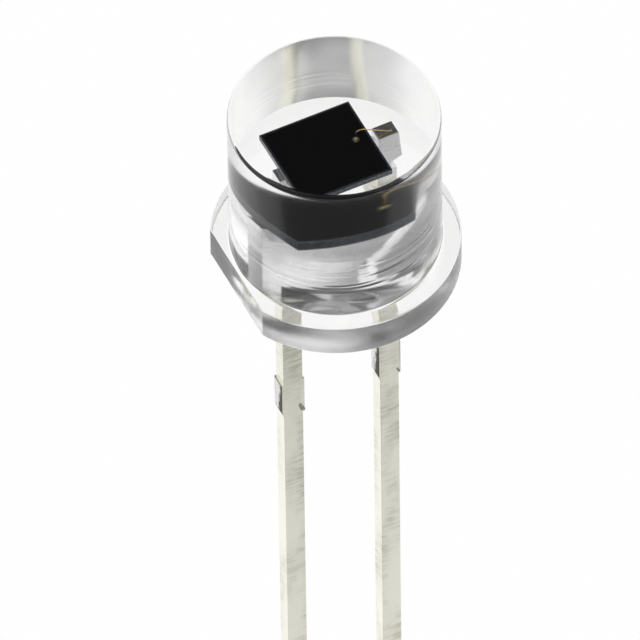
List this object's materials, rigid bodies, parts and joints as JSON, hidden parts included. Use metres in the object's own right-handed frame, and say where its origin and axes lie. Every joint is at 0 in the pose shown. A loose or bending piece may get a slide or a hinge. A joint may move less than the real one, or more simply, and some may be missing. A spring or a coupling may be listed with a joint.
{
  "type": "photodiode",
  "caption": "Clear flat-topped radial photodiode: a square silicon die on a stamped lead frame, cast in a round resin body with a flange, one flat and straight leads.",
  "frame": {"origin": "middle of the flange's underside, in the plane where the part seats on a board", "axes": "+Z along the optical axis towards the window, +X along the lead pitch from the cathode to the anode"},
  "size_m": [0.0056, 0.0058, 0.0321],
  "materials": {
    "clear_resin": "clear cast resin",
    "tinned_steel": "matte tin over stamped strip",
    "silicon": "black coated silicon",
    "conductive_glue": "cured silver-filled glue",
    "gold_wire": "drawn gold wire"
  },
  "bodies": {
    "root": {"casting": "clear_resin", "cathode_lead": "tinned_steel", "anode_lead": "tinned_steel", "die": "silicon", "die_attach": "conductive_glue", "bond_wire": "gold_wire"}
  },
  "joints": []
}
